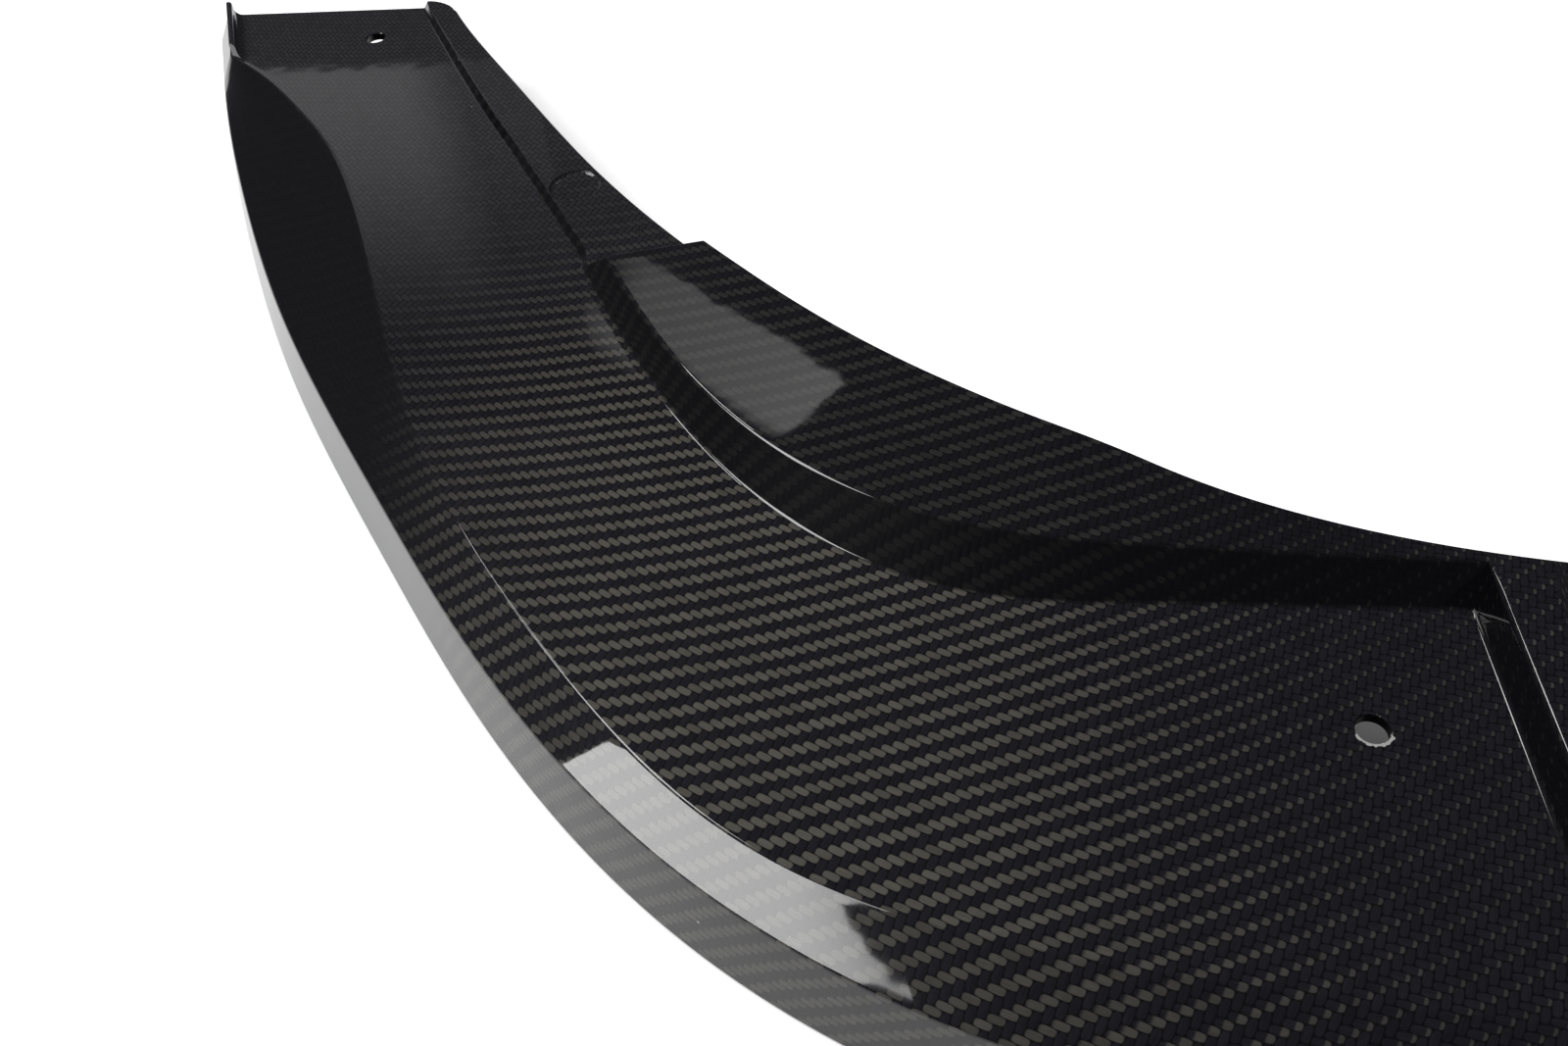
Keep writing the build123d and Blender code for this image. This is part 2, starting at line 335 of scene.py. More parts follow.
for share in (0.25, 0.5, 0.75, 1.0):
    at = arc_points(
        (crease_w * crease_low, WALL + BEVEL_DROP * crease_low), (crease_w, PLATE * ones),
        (crease_w + CREASE_ROUND, PLATE * ones), share,
    )
    bevel_share = crease_low + (1 - crease_low) * share
    unrolled = border_cloth + slope_length * bevel_share + CREASE_ROUND * share
    profile_row(at[:, 0], at[:, 1], unrolled, 1 - share)

# Plate, riser, and what lies behind it
across = top_plan - foot_plan
run = np.maximum(np.linalg.norm(across, axis=1), 1e-6)
across = across / run[:, None]
rise_turn = np.arctan2(rise, run)
riser_length = np.hypot(rise, run)
root_round = np.where(nominal < pad_end, 0.8, 2.0)
root_cut = np.minimum(root_round * np.tan(rise_turn / 2), riser_length * 0.42)
crease_end = laid_off(spot_along(crease_w + CREASE_ROUND), crease_w + CREASE_ROUND)
# Where the riser turns a corner, its fillets meet on a mitre
before_foot, past_top = across.copy(), across.copy()
corner_inward = laid_off(step_start, 1.0) - laid_off(step_start, 0.0)
side_cut = root_cut[first_step + 1] * across_step
before_foot[first_step] = (side_cut + root_cut[first_step - 1] * corner_inward) / root_cut[first_step]
front_cut = root_cut[-1] * corner_inward
past_top[turn_columns] = (side_cut + front_cut) / root_cut[turn_columns][:, None]
near_foot = foot_plan - before_foot * (root_cut + 1.0)[:, None]
for share in (0.03, 0.12, 0.25, 0.4, 0.55, 0.7, 0.84, 0.95, 1.0):
    plan = crease_end + (near_foot - crease_end) * share
    add_row(plan, PLATE, plan)


def riser_row(q, z, unrolled, riser):
    """A row on the riser: distance from its foot in plan, height, and distance on the unrolled cloth."""
    before, past = np.minimum(q, 0), np.maximum(q - run, 0)
    plan = foot_plan + across * (q - before - past)[:, None]
    plan = plan + before_foot * before[:, None] + past_top * past[:, None]
    add_row(plan, z, foot_plan + across * unrolled[:, None], (0.0, riser))


foot_low = (-root_cut, PLATE * ones)
foot_high = (root_cut * np.cos(rise_turn), PLATE + root_cut * np.sin(rise_turn))
head_low = (run - root_cut * np.cos(rise_turn), level - root_cut * np.sin(rise_turn))
head_high = (run + root_cut, level)
for share in np.linspace(0, 1, 6):
    at = arc_points(foot_low, (0.0 * ones, PLATE * ones), foot_high, share)
    riser_row(at[:, 0], at[:, 1], root_cut * (2 * share - 1), share)
riser_row(run * 0.5, PLATE + rise * 0.5, riser_length * 0.5, 1.0)
for share in np.linspace(0, 1, 6):
    at = arc_points(head_low, (run, level), head_high, share)
    riser_row(at[:, 0], at[:, 1], riser_length + root_cut * (2 * share - 1), 1 - share)
head_plan = top_plan + past_top * (root_cut + 0.02)[:, None]
extra = across * (riser_length - run)[:, None]
REAR_EASE = 0.5
toward = head_plan - rear_plan
toward = toward / np.maximum(np.linalg.norm(toward, axis=1), 1e-6)[:, None]
rear_start = rear_plan + toward * REAR_EASE
for share in (0.1, 0.3, 0.5, 0.7, 0.9, 1.0):
    plan = head_plan + (rear_start - head_plan) * share
    add_row(plan, level, plan + extra)
add_row(rear_plan, level - REAR_EASE, rear_plan + extra)
add_row(rear_plan, level - LAMINATE, rear_plan + extra)

# Underside, one laminate thickness below
inset = LAMINATE * np.tan(rise_turn / 2)
top_width = np.linalg.norm(rear_plan - top_plan, axis=1)
inner_top = top_plan + across * np.minimum(inset, 0.6 * top_width)[:, None]
add_row(inner_top, level - LAMINATE, inner_top)
inner_foot = foot_plan + across * np.minimum(inset, run * 0.5 + 1.0)[:, None]
add_row(inner_foot, PLATE - LAMINATE, inner_foot)
inner_crease = crease_w + LAMINATE * np.tan(bevel_turn / 2)
profile_row(inner_crease, PLATE - LAMINATE, inner_crease)
front_slope = BEVEL_DROP / FRONT_BEVEL
bevel_deep = LAMINATE * math.hypot(1, front_slope)
wall_deep = LAMINATE * math.hypot(1, skew)
inner_border = (wall_deep - skew * bevel_deep) / (1 - skew * front_slope)
profile_row(inner_border * ones, WALL + front_slope * inner_border - bevel_deep, inner_border * ones)


def tow_numbers(plan):
    """Tow coordinates of the twill at these plan points of its cloth, which turns round the corner."""
    x = (-np.abs(plan[..., 0]) + 600) / 100
    y = (plan[..., 1] + 100) / 100
    bend = np.minimum(x, 1.7)
    beyond = x - bend
    warp = -24.6 * x - 45.6 * y + 3.96 * bend * (bend + 2 * beyond) - 2.25 * bend * y + 0.3 * y * y
    weft = 43.6 * x - 20.5 * y + 2.3 * bend * (bend + 2 * beyond) + 3.26 * bend * y + 1.64 * y * y
    return np.stack([warp, weft], -1)


def lay_cloth(mesh, name, values):
    """Gives a mesh a UV map from one pair of values for each vertex."""
    corners = np.zeros(len(mesh.loops), np.int32)
    mesh.loops.foreach_get("vertex_index", corners)
    layer = mesh.uv_layers.new(name=name)
    layer.data.foreach_set("uv", np.array(values, np.float32)[corners].ravel())


def shell_mesh():
    """The whole shell: the rows joined to a closed skin, mirrored, and capped at both tips."""
    ring = len(rows)
    points = np.array([np.column_stack([plan, z]) for plan, z, _, _ in rows])
    cloth = np.array([tow_numbers(c) for _, _, c, _ in rows])
    points[:, -1, 0] = 0.0
    vertices = []
    numbers = []
    zones = []
    for side in (1, -1):
        for i in range(count if side == 1 else count - 1):
            for r in range(ring):
                x, y, z = points[r, i]
                vertices.append((x * side * MM, y * MM, z * MM))
                numbers.append(cloth[r, i])
                zones.append(rows[r][3])

    def index(side, i, r):
        if side == 1 or i == count - 1:
            return i * ring + r
        return (count + i) * ring + r

    faces = []
    for side in (1, -1):
        for i in range(count - 1):
            for r in range(ring):
                n = (r + 1) % ring
                quad = [index(side, i, r), index(side, i + 1, r), index(side, i + 1, n), index(side, i, n)]
                faces.append(quad if side == 1 else quad[::-1])
        cap = [index(side, 0, r) for r in range(ring)]
        faces.append(cap if side == 1 else cap[::-1])
    mesh = bpy.data.meshes.new("valance_shell")
    mesh.from_pydata(vertices, [], faces)
    lay_cloth(mesh, "cloth", numbers)
    lay_cloth(mesh, "zone", zones)
    return mesh


def fin_mesh(side):
    """The upright fin on the outer edge of a tip, with a rounded top and root, cut off along the crease."""
    base = BEVELS[0] + 1.0
    quarter = np.radians(np.linspace(0, 90, 5))
    edge_in = FIN_EDGE * (1 - np.cos(quarter))
    edge_up = FIN_HEIGHT - FIN_EDGE * (1 - np.sin(quarter))
    root = np.radians(np.linspace(180, 270, 7))
    outline = [(0.0, -LAMINATE / 2)]
    outline += list(zip(edge_in, edge_up))
    outline += list(zip(FIN_THICKNESS - edge_in[::-1], edge_up[::-1]))
    outline += list(zip(FIN_THICKNESS + FIN_ROOT * (1 + np.cos(root)), FIN_ROOT * (1 + np.sin(root))))
    outline.append((FIN_THICKNESS + FIN_ROOT, -LAMINATE / 2))
    vertices = []
    numbers = []
    for end in (0, 1):
        for q, z in outline:
            w = base + q
            start = -TIP_RUN + tip_skew * w
            stop = q / math.tan(CREASE_TURN)
            p = laid_off(start + (stop - start) * end, w)
            flat = laid_off(start + (stop - start) * end, w + (z if q < FIN_THICKNESS else -z))
            vertices.append((p[0] * side * MM, p[1] * MM, (PLATE + z) * MM))
            numbers.append(tow_numbers(flat))
    n = len(outline)
    faces = [[k, (k + 1) % n, n + (k + 1) % n, n + k] for k in range(n)]
    faces += [list(range(n))[::-1], [n + k for k in range(n)]]
    if side == -1:
        faces = [f[::-1] for f in faces]
    mesh = bpy.data.meshes.new("tip_fin")
    mesh.from_pydata(vertices, [], faces)
    lay_cloth(mesh, "cloth", numbers)
    return mesh


def lathe(outline, centre, segments=72):
    """Closed solid of revolution about an upright axis, from (radius, height) pairs in millimetres."""
    bm = bmesh.new()
    rings = []
    for r, z in outline:
        if r == 0:
            rings.append([bm.verts.new((centre[0] * MM, centre[1] * MM, z * MM))])
            continue
        rings.append([
            bm.verts.new(((centre[0] + r * math.cos(a)) * MM, (centre[1] + r * math.sin(a)) * MM, z * MM))
            for a in np.linspace(0, 2 * math.pi, segments, endpoint=False)
        ])
    for a, b in zip(rings, rings[1:]):
        for k in range(segments):
            n = (k + 1) % segments
            corner = {v: None for v in (a[k % len(a)], a[n % len(a)], b[n % len(b)], b[k % len(b)])}
            bm.faces.new(list(corner))
    bmesh.ops.recalc_face_normals(bm, faces=bm.faces)
    mesh = bpy.data.meshes.new("cutter")
    bm.to_mesh(mesh)
    bm.free()
    plans = np.array([vertex.co[:2] for vertex in mesh.vertices]) / MM
    lay_cloth(mesh, "cloth", tow_numbers(plans))
    return mesh


def new_object(name, mesh):
    piece = bpy.data.objects.new(name, mesh)
    bpy.context.scene.collection.objects.link(piece)
    return piece


shell = new_object("valance_skin", shell_mesh())
bm = bmesh.new()
bm.from_mesh(shell.data)
bmesh.ops.remove_doubles(bm, verts=bm.verts, dist=2e-6)
bmesh.ops.recalc_face_normals(bm, faces=bm.faces)
bm.to_mesh(shell.data)
bm.free()
HOLE_EASE = 0.3
hole_outline = [
    (0, PLATE - LAMINATE - 4), (HOLE_RADIUS, PLATE - LAMINATE - 4), (HOLE_RADIUS, PLATE - HOLE_EASE),
    (HOLE_RADIUS + HOLE_EASE, PLATE), (HOLE_RADIUS + HOLE_EASE, PLATE + 2), (0, PLATE + 2),
]
SPOT_ROUND = 1.6
spot_floor = FLANGE - SPOT_DEPTH
spot_flat = SPOT_RADIUS - SPOT_ROUND
spot_outline = [(0, spot_floor), (spot_flat, spot_floor)]
spot_outline += [
    (spot_flat + SPOT_ROUND * math.sin(a), spot_floor + SPOT_DEPTH * (1 - math.cos(a)))
    for a in np.radians([18, 36, 54, 72, 90])
]
spot_outline += [(SPOT_RADIUS + 0.15, FLANGE + 2), (0, FLANGE + 2)]
for centre, outline in ((TIP_HOLE, hole_outline), (FRONT_HOLE, hole_outline), (SPOT, spot_outline)):
    at = laid_off(*centre)
    for side in (1, -1):
        cutter = new_object("cutter", lathe(outline, (at[0] * side, at[1])))
        cut = shell.modifiers.new("cut", "BOOLEAN")
        cut.operation = "DIFFERENCE"
        cut.solver = "EXACT"
        cut.object = cutter
        graph = bpy.context.evaluated_depsgraph_get()
        mesh = bpy.data.meshes.new_from_object(shell.evaluated_get(graph))
        shell.modifiers.clear()
        shell.data = mesh
        bpy.data.objects.remove(cutter)

fins = [new_object(name, fin_mesh(side)) for name, side in (("tip_fin_left", 1), ("tip_fin_right", -1))]
for piece in [shell] + fins:
    bm = bmesh.new()
    bm.from_mesh(piece.data)
    bmesh.ops.recalc_face_normals(bm, faces=bm.faces)
    bm.to_mesh(piece.data)
    bm.free()
    piece.data.shade_smooth()
    piece.data.set_sharp_from_angle(angle=math.radians(32))
    even = piece.modifiers.new("even", "WEIGHTED_NORMAL")
    even.keep_sharp = True
    even.weight = 60
    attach(piece, "root")
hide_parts("valance_lip")

# Lacquered twill; the helpers below add nodes to whichever node tree is the present one
carbon = bpy.data.materials.new("lacquered_twill")
carbon.use_nodes = True
tree = carbon.node_tree
shader = tree.nodes["Principled BSDF"]


def value_of(x, socket):
    """Sets a socket to a number, or links another node's output to it."""
    if isinstance(x, (int, float)):
        socket.default_value = x
    else:
        tree.links.new(x, socket)


def calc(operation, a, b=0.0, c=0.0):
    """Output of one math node."""
    node = tree.nodes.new("ShaderNodeMath")
    node.operation = operation
    for x, socket in zip((a, b, c), node.inputs):
        value_of(x, socket)
    return node.outputs[0]


def ramp(x, low, high, low_value=0.0, high_value=1.0):
    """Smooth change from one value to another between two limits."""
    node = tree.nodes.new("ShaderNodeMapRange")
    node.interpolation_type = "SMOOTHSTEP"
    value_of(x, node.inputs["Value"])
    for name, v in (("From Min", low), ("From Max", high), ("To Min", low_value), ("To Max", high_value)):
        value_of(v, node.inputs[name])
    return node.outputs["Result"]


def noise(vector, scale, detail=2.0):
    node = tree.nodes.new("ShaderNodeTexNoise")
    tree.links.new(vector, node.inputs["Vector"])
    node.inputs["Scale"].default_value = scale
    node.inputs["Detail"].default_value = detail
    return node.outputs["Fac"]


def blend(a, b, share):
    """Number between a and b."""
    node = tree.nodes.new("ShaderNodeMix")
    value_of(share, node.inputs[0])
    value_of(a, node.inputs[2])
    value_of(b, node.inputs[3])
    return node.outputs[0]


def blend_colour(a, b, share):
    node = tree.nodes.new("ShaderNodeMix")
    node.data_type = "RGBA"
    value_of(share, node.inputs[0])
    for x, socket in ((a, node.inputs[6]), (b, node.inputs[7])):
        if isinstance(x, tuple):
            socket.default_value = (*x, 1.0)
        else:
            tree.links.new(x, socket)
    return node.outputs[2]


def joined(x, y, z=0.0):
    node = tree.nodes.new("ShaderNodeCombineXYZ")
    for v, socket in zip((x, y, z), node.inputs):
        value_of(v, socket)
    return node.outputs[0]


cloth_node = tree.nodes.new("ShaderNodeUVMap")
cloth_node.uv_map = "cloth"
zone_node = tree.nodes.new("ShaderNodeUVMap")
zone_node.uv_map = "zone"
place_node = tree.nodes.new("ShaderNodeTexCoord")


def parts_of(vector):
    node = tree.nodes.new("ShaderNodeSeparateXYZ")
    tree.links.new(vector, node.inputs[0])
    return node.outputs


drift_node = tree.nodes.new("ShaderNodeTexNoise")
drift_node.inputs["Scale"].default_value = 0.09
tree.links.new(cloth_node.outputs[0], drift_node.inputs["Vector"])
cloth_at = parts_of(cloth_node.outputs[0])
drift = parts_of(drift_node.outputs["Color"])
zone = parts_of(zone_node.outputs[0])
place = parts_of(place_node.outputs["Object"])
outward = calc("ABSOLUTE", place[0])
warp = calc("ADD", cloth_at[0], calc("MULTIPLY", drift[0], 0.6))
weft = calc("ADD", cloth_at[1], calc("MULTIPLY", drift[1], 0.6))
warp_cell, weft_cell = calc("FLOOR", warp), calc("FLOOR", weft)
warp_part, weft_part = calc("SUBTRACT", warp, warp_cell), calc("SUBTRACT", weft, weft_cell)
# Twill: each tow passes over two and under two, one further on in the next tow
phase = calc("FLOORED_MODULO", calc("ADD", warp_cell, weft_cell), 4.0)
dark_up = calc("LESS_THAN", phase, 1.5)
along_dark = calc("DIVIDE", calc("FLOORED_MODULO", calc("ADD", warp, weft_cell), 4.0), 2.0)
along_light = calc("FLOORED_MODULO", calc("ADD", weft, warp_cell), 4.0)
along_light = calc("SUBTRACT", calc("DIVIDE", along_light, 2.0), 1.0)
along = blend(along_light, along_dark, dark_up)
across_tow = calc("SUBTRACT", calc("MULTIPLY", blend(warp_part, weft_part, dark_up), 2.0), 1.0)
from_middle = calc("ABSOLUTE", across_tow)
crown = calc("SUBTRACT", 1.0, calc("POWER", from_middle, 2.4))
arch = calc("MAXIMUM", calc("SINE", calc("MULTIPLY", along, math.pi)), 0.0)
height = calc("MULTIPLY", calc("POWER", arch, 0.6), crown)
# A float is a rounded lozenge with a dark gap round it
from_half = calc("ABSOLUTE", calc("SUBTRACT", calc("MULTIPLY", along, 2.0), 1.0))
gap = calc("ADD", calc("POWER", from_middle, 3.0), calc("POWER", from_half, 4.0))
edge = ramp(gap, 0.45, 1.05, 1.0, 0.12)
fibre_dark = noise(joined(calc("MULTIPLY", warp, 0.35), calc("MULTIPLY", weft, 8.0)), 1.0, 3.0)
fibre_light = noise(joined(calc("MULTIPLY", warp, 8.0), calc("MULTIPLY", weft, 0.35)), 1.0, 3.0)
fibre = blend(fibre_light, fibre_dark, dark_up)
tow_dark = noise(joined(calc("MULTIPLY", warp_cell, 0.13), calc("MULTIPLY", weft_cell, 3.7)), 1.0, 1.0)
tow_light = noise(joined(calc("MULTIPLY", warp_cell, 3.7), calc("MULTIPLY", weft_cell, 0.13)), 1.0, 1.0)
tow = blend(tow_light, tow_dark, dark_up)
# Painted highlight: the light tows are coloured as shining in full round the corner of the lip, and only at
# their bends further in
shine_at = ramp(outward, 0.46, 0.57, 0.90, 0.5)
shine_width = ramp(outward, 0.46, 0.60, 0.16, 0.9)
from_shine = calc("DIVIDE", calc("ABSOLUTE", calc("SUBTRACT", along, shine_at)), shine_width)
shine = ramp(from_shine, 0.5, 1.0, 1.0, 0.0)
# Painted light and shade: how strongly the light tows show changes with place, brightest round the corner
# of the lip and darker towards the middle, the tip, the rear edge and on the seat top; on the slopes darker
# towards the tip, on the risers fixed
ARM_START, ARM_DIMS, ARM_DARK = 0.43, 0.685, 0.745
level_gain = ramp(outward, ARM_START, 0.60, 0.32, 1.0)
level_gain = calc("MULTIPLY", level_gain, ramp(outward, 0.64, 0.755, 1.0, 0.08))
slope_gain = ramp(outward, ARM_DIMS, ARM_DARK, 0.75, 0.08)
slope_gain = calc("MULTIPLY", slope_gain, ramp(outward, ARM_START, 0.56, 0.5, 1.0))
level_gain = calc("MULTIPLY", level_gain, ramp(place[1], -0.03, 0.09, 1.0, 0.12))
on_seat_top = ramp(place[2], 0.041, 0.046)
level_gain = blend(level_gain, ramp(outward, ARM_START, 0.47, 0.55, 0.38), on_seat_top)
gain = blend(blend(level_gain, slope_gain, zone[0]), 0.6, zone[1])
# Painted sheen: both sets of tows are the same black fibre; one set is coloured light and the other dark,
# standing in for the sheen the lamps give the fibres
sheen_fibre = blend_colour((0.060, 0.058, 0.049), (0.130, 0.124, 0.106), fibre)
shaded_fibre = blend_colour((0.006, 0.006, 0.0085), (0.019, 0.019, 0.025), fibre)
lit = calc("MULTIPLY", calc("SUBTRACT", 1.0, dark_up), calc("MULTIPLY", shine, gain))
weave = blend_colour(shaded_fibre, sheen_fibre, lit)
# Towards the tip the painted sheen fades: on the level faces the two sets of tows are coloured alike, a mid
# grey
on_level = calc("SUBTRACT", 1.0, calc("MAXIMUM", zone[0], zone[1]))
alike = calc("MULTIPLY", ramp(place[1], 0.0, 0.14, 0.0, 0.75), on_level)
weave = blend_colour(weave, (0.034, 0.034, 0.038), alike)
shade = calc("MULTIPLY", edge, ramp(tow, 0.2, 0.8, 0.70, 1.15))
# Painted shade: the slopes darken towards the tip, the risers are dark, and the seat top is darker out in
# the arm
slope_shade = ramp(outward, ARM_DIMS, ARM_DARK, 0.9, 0.18)
shade = calc("MULTIPLY", shade, blend(blend(1.0, slope_shade, zone[0]), 0.13, zone[1]))
shade = calc("MULTIPLY", shade, blend(1.0, ramp(outward, ARM_START, 0.46, 1.0, 0.6), on_seat_top))
resin_and_shade = (0.0026, 0.0026, 0.0031)
# Where the shade factor is low the colour goes to the dark resin colour: real in the gaps between tows,
# painted shade on the slopes, risers and seat top
colour = blend_colour(resin_and_shade, weave, shade)
# Bare resin inside the screw holes, and chipped lacquer on the front rim of the forward ones
chip_noise = noise(place_node.outputs["Object"], 900.0, 3.0)
for hole, chipped in ((TIP_HOLE, False), (FRONT_HOLE, True)):
    centre = laid_off(*hole) * MM
    aside = calc("SUBTRACT", outward, -float(centre[0]))
    ahead = calc("SUBTRACT", place[1], float(centre[1]))
    away = calc("SQRT", calc("ADD", calc("MULTIPLY", aside, aside), calc("MULTIPLY", ahead, ahead)))
    inside = calc("LESS_THAN", away, (HOLE_RADIUS + 0.12) * MM)
    colour = blend_colour(colour, resin_and_shade, inside)
    if chipped:
        reach_out = ramp(away, (HOLE_RADIUS + 0.25) * MM, (HOLE_RADIUS + 1.5) * MM, 0.78, 0.30)
        front_side = ramp(ahead, -0.0032, 0.0005, 1.0, 0.0)
        chip = calc("LESS_THAN", chip_noise, calc("MULTIPLY", reach_out, front_side))
        chip = calc("MULTIPLY", chip, calc("LESS_THAN", away, (HOLE_RADIUS + 1.5) * MM))
        colour = blend_colour(colour, (0.42, 0.42, 0.41), chip)
# A little dust
dust_cells = tree.nodes.new("ShaderNodeTexVoronoi")
dust_cells.inputs["Scale"].default_value = 42.0
tree.links.new(place_node.outputs["Object"], dust_cells.inputs["Vector"])
dust_pick = parts_of(dust_cells.outputs["Color"])
dust = calc("LESS_THAN", dust_cells.outputs["Distance"], ramp(dust_pick[0], 0.55, 1.0, 0.0, 0.016))
colour = blend_colour(colour, (0.45, 0.45, 0.45), dust)
tree.links.new(colour, shader.inputs["Base Color"])
tree.links.new(ramp(fibre, 0.2, 0.8, 0.36, 0.55), shader.inputs["Roughness"])
bump = tree.nodes.new("ShaderNodeBump")
bump.inputs["Strength"].default_value = 0.35
bump.inputs["Distance"].default_value = 0.0002
tree.links.new(height, bump.inputs["Height"])
tree.links.new(bump.outputs["Normal"], shader.inputs["Normal"])
wave = tree.nodes.new("ShaderNodeBump")
wave.inputs["Strength"].default_value = 0.05
wave.inputs["Distance"].default_value = 0.001
tree.links.new(noise(place_node.outputs["Object"], 45.0, 2.0), wave.inputs["Height"])
tree.links.new(wave.outputs["Normal"], shader.inputs["Coat Normal"])
shader.inputs["Specular IOR Level"].default_value = 0.04
shader.inputs["Coat Weight"].default_value = 1.0
shader.inputs["Coat Roughness"].default_value = 0.03
shader.inputs["Coat IOR"].default_value = 1.5
for piece in [shell] + fins:
    piece.data.materials.clear()
    piece.data.materials.append(carbon)

# Camera: the plate's upward normal as the camera sees it, and the camera's place over the plate
plate_up = np.array([-0.0725, -0.6767, -0.7326])
plate_up = plate_up / np.linalg.norm(plate_up)
flat_x = np.array([1.0, 0.0, 0.0]) - plate_up * plate_up[0]
flat_x = flat_x / np.linalg.norm(flat_x)
flat_y = np.cross(plate_up, flat_x)
yaw = math.radians(-4.0)
part_axes = np.array([
    math.cos(yaw) * flat_x + math.sin(yaw) * flat_y,
    -math.sin(yaw) * flat_x + math.cos(yaw) * flat_y,
    plate_up,
])
camera_place = (-0.568, -0.318, 0.309)
camera = bpy.data.objects.new("camera", bpy.data.cameras.new("camera"))
bpy.context.scene.collection.objects.link(camera)
camera.data.sensor_width = 36.0
camera.data.lens = 31.5
camera.data.clip_start = 0.01
turn = Matrix([(right, -down, -forward) for right, down, forward in part_axes])
camera.matrix_world = Matrix.Translation(camera_place) @ turn.to_4x4()
bpy.context.scene.camera = camera

# Floor, world and lamps
scene = bpy.context.scene
scene.view_settings.view_transform = "Standard"
FLOOR_HALF, FLOOR_GAP = 30, 0.0005
PAPER_GLOW, PAPER_IN_LACQUER = 0.6, 0.36
SHADOW_REACH, SHADOW_POWER = 0.12, 1.6
DARK_ROOM = (0.25, 0.5)
floor_mesh = bpy.data.meshes.new("floor")
floor_corners = [(x * FLOOR_HALF, y * FLOOR_HALF, 0) for x, y in ((-1, -1), (1, -1), (1, 1), (-1, 1))]
floor_mesh.from_pydata(floor_corners, [], [(0, 1, 2, 3)])
floor = new_object("floor", floor_mesh)
floor.location.z = -FLOOR_GAP
paper = bpy.data.materials.new("white_paper")
paper.use_nodes = True
tree = paper.node_tree
paper_shader = tree.nodes["Principled BSDF"]
paper_shader.inputs["Base Color"].default_value = (0.9, 0.9, 0.9, 1)
paper_shader.inputs["Roughness"].default_value = 0.8
paper_shader.inputs["Specular IOR Level"].default_value = 0.0
paper_shader.inputs["Emission Color"].default_value = (1, 1, 1, 1)
paper_path = tree.nodes.new("ShaderNodeLightPath")
mirrored = paper_path.outputs["Is Glossy Ray"]
seen = calc("MAXIMUM", paper_path.outputs["Is Camera Ray"], calc("MULTIPLY", mirrored, PAPER_IN_LACQUER))
# Painted shadow: the paper's glow is darkened by ambient occlusion, so it is dark under the lip and shaded
# beside it
uncovered = tree.nodes.new("ShaderNodeAmbientOcclusion")
uncovered.inputs["Distance"].default_value = SHADOW_REACH
uncovered.samples = 12
paper_level = calc("MULTIPLY", calc("POWER", uncovered.outputs["AO"], SHADOW_POWER), PAPER_GLOW)
tree.links.new(calc("MULTIPLY", seen, paper_level), paper_shader.inputs["Emission Strength"])
# Lacquer sees the paper near the lip; further off the room is dark
far_off = tree.nodes.new("ShaderNodeMapRange")
far_off.inputs["From Min"].default_value, far_off.inputs["From Max"].default_value = DARK_ROOM
tree.links.new(paper_path.outputs["Ray Length"], far_off.inputs["Value"])
room = tree.nodes.new("ShaderNodeEmission")
room.inputs["Color"].default_value = (0.04, 0.04, 0.045, 1)
paper_mix = tree.nodes.new("ShaderNodeMixShader")
tree.links.new(calc("MULTIPLY", mirrored, far_off.outputs["Result"]), paper_mix.inputs[0])
tree.links.new(paper_shader.outputs[0], paper_mix.inputs[1])
tree.links.new(room.outputs[0], paper_mix.inputs[2])
tree.links.new(paper_mix.outputs[0], tree.nodes["Material Output"].inputs["Surface"])
floor_mesh.materials.append(paper)

world = bpy.data.worlds.new("studio")
scene.world = world
world.use_nodes = True
nodes, links = world.node_tree.nodes, world.node_tree.links
background = nodes["Background"]
background.inputs["Color"].default_value = (0.035, 0.035, 0.04, 1)
white = nodes.new("ShaderNodeBackground")
white.inputs["Color"].default_value = (1, 1, 1, 1)
path = nodes.new("ShaderNodeLightPath")
choose = nodes.new("ShaderNodeMixShader")
links.new(path.outputs["Is Camera Ray"], choose.inputs[0])
links.new(background.outputs[0], choose.inputs[1])
links.new(white.outputs[0], choose.inputs[2])
links.new(choose.outputs[0], nodes["World Output"].inputs["Surface"])
LAMP_AIM = Vector((-0.55, -0.1, 0.03))


def area_lamp(name, stand, size, power, in_lacquer):
    """A square softbox aimed at the corner of the lip."""
    lamp = bpy.data.lights.new(name, "AREA")
    lamp.shape = "SQUARE"
    lamp.size, lamp.energy = size, power
    holder = new_object(name, lamp)
    holder.location = stand
    holder.rotation_euler = (LAMP_AIM - Vector(stand)).to_track_quat("-Z", "Y").to_euler()
    holder.visible_camera = False
    holder.visible_glossy = in_lacquer


area_lamp("left_key", (-1.96, 0.02, 1.69), 0.9, 28.0, True)
area_lamp("overhead_fill", (-0.4, -0.3, 2.2), 1.6, 22.0, False)


def lit_panel(name, corners, faces, spans):
    """A softbox seen only in the lacquer: its node tree, emission node, and the spans of its corners."""
    mesh = bpy.data.meshes.new(name)
    mesh.from_pydata(corners, [], faces)
    layer = mesh.uv_layers.new(name="span")
    for loop in mesh.loops:
        layer.data[loop.index].uv = spans[loop.vertex_index]
    panel = new_object(name, mesh)
    panel.visible_camera = panel.visible_diffuse = panel.visible_shadow = False
    glow = bpy.data.materials.new(name)
    glow.use_nodes = True
    mesh.materials.append(glow)
    glow.node_tree.nodes.remove(glow.node_tree.nodes["Principled BSDF"])
    emission = glow.node_tree.nodes.new("ShaderNodeEmission")
    glow.node_tree.links.new(emission.outputs[0], glow.node_tree.nodes["Material Output"].inputs["Surface"])
    span_node = glow.node_tree.nodes.new("ShaderNodeUVMap")
    span_node.uv_map = "span"
    return glow.node_tree, emission, span_node


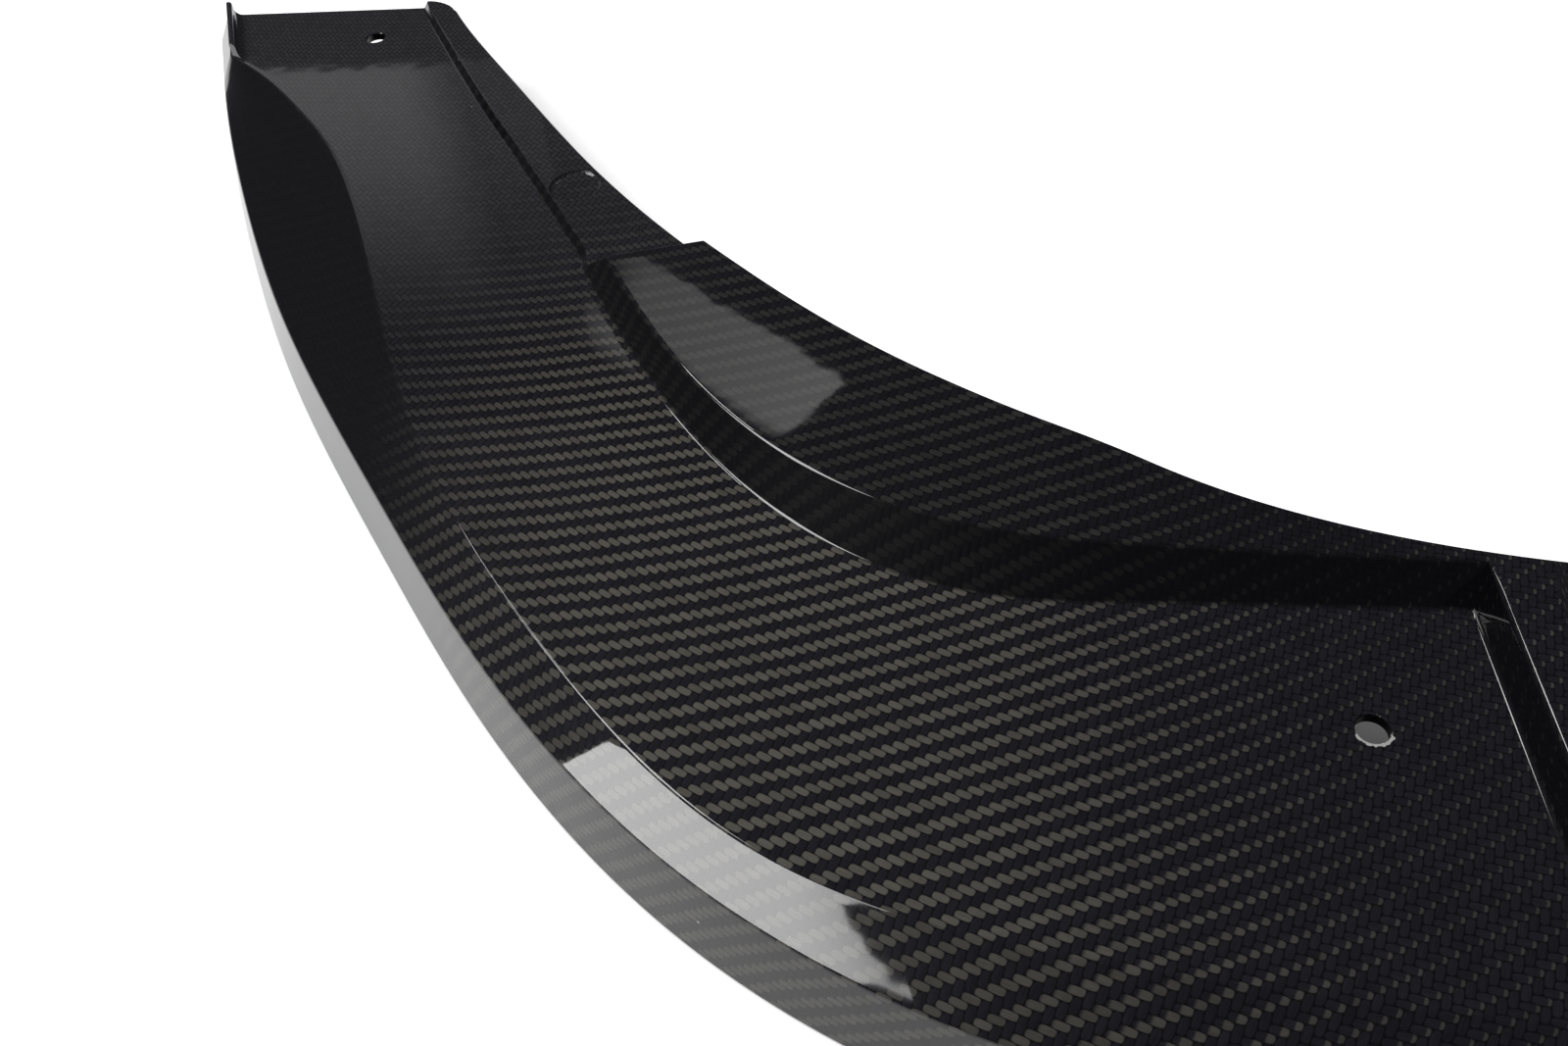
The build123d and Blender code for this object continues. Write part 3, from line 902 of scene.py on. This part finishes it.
def sky_point(middle, distance, turn_to, raised):
    """Point at a distance from a middle, in the direction of a compass turn and a height, in degrees."""
    a, e = math.radians(turn_to), math.radians(raised)
    away = np.array([math.cos(e) * math.cos(a), math.cos(e) * math.sin(a), math.sin(e)])
    return tuple(middle + distance * away)


# A tilted softbox behind the pad, fading from its right corner, and a dim one behind the tip
BACK = 2.0
one_face = [(0, 1, 2, 3)]
low_edge, high_edge = np.array([-0.755, -0.656]), np.array([-0.656, 0.755])
right_corner = np.array([-0.73, 1.82]) + 0.02 * high_edge
pad_spans = [(0.0, 0.0), (0.62, 0.0), (0.62, 0.5), (0.0, 0.5)]
pad_flat = [right_corner + u * low_edge + v * high_edge for u, v in pad_spans]
pad_corners = [(x, BACK, z) for x, z in pad_flat]
tree, pad_glow, pad_span = lit_panel("pad_softbox", pad_corners, one_face, pad_spans)
span = parts_of(pad_span.outputs[0])
fade = calc("POWER", math.e, calc("MULTIPLY", span[0], -1.5))
strength = calc("MULTIPLY", calc("MULTIPLY", fade, 1.5), ramp(span[1], 0.2, 0.3, 1.0, 0.0))
strength = calc("MULTIPLY", strength, ramp(span[0], 0.48, 0.62, 1.0, 0.0))
tree.links.new(strength, pad_glow.inputs["Strength"])
tip_spans = [(-2.6, 1.02), (-1.3, 1.02), (-1.3, 1.95), (-2.6, 1.95)]
tip_corners = [(x, BACK, z) for x, z in tip_spans]
tree, tip_glow, tip_span = lit_panel("tip_softbox", tip_corners, one_face, tip_spans)
span = parts_of(tip_span.outputs[0])
strength = calc("MULTIPLY", ramp(span[1], 1.0, 1.75, 0.5, 0.0), ramp(span[0], -1.58, -1.42, 1.0, 0.25))
tree.links.new(strength, tip_glow.inputs["Strength"])

# A small bright softbox at the back left, which draws lines along the edges of the step
step_view = np.array([-0.44, -0.12, 0.04])
step_spans = [(129.5, 40.5), (138.5, 40.5), (138.5, 49.5), (129.5, 49.5)]
step_corners = [sky_point(step_view, 2.0, *span) for span in step_spans]
tree, step_glow, _ = lit_panel("step_softbox", step_corners, one_face, step_spans)
step_glow.inputs["Strength"].default_value = 14.0

# A bright curved softbox at the front left, which shows in the bevel: turn, lower and upper height
bevel_view = np.array([-0.62, -0.16, 0.03])
side_corners = []
side_spans = []
side_sky = [
    (-170, 10.0, 11.5), (-163, 7.0, 14.5), (-152, 6.0, 18.0), (-145, 9.5, 21.0), (-137, 15.3, 27.0),
    (-132, 19.3, 31.0), (-126, 26.0, 38.0), (-121, 31.4, 42.0), (-119, 33.2, 42.5),
]
for k, (turn_to, *raised) in enumerate(side_sky):
    for v in (0, 1):
        side_corners.append(sky_point(bevel_view, 1.6, turn_to, raised[v]))
        side_spans.append((k / (len(side_sky) - 1), v))
side_faces = [(2 * k, 2 * k + 2, 2 * k + 3, 2 * k + 1) for k in range(len(side_sky) - 1)]
tree, side_glow, side_span = lit_panel("side_softbox", side_corners, side_faces, side_spans)
span = parts_of(side_span.outputs[0])
side_path = tree.nodes.new("ShaderNodeLightPath")
first_bounce = calc("LESS_THAN", side_path.outputs["Ray Depth"], 1.5)
strength = calc("MULTIPLY", ramp(span[0], 0.55, 1.0, 1.0, 0.45), calc("MULTIPLY", first_bounce, 9.5))
tree.links.new(strength, side_glow.inputs["Strength"])
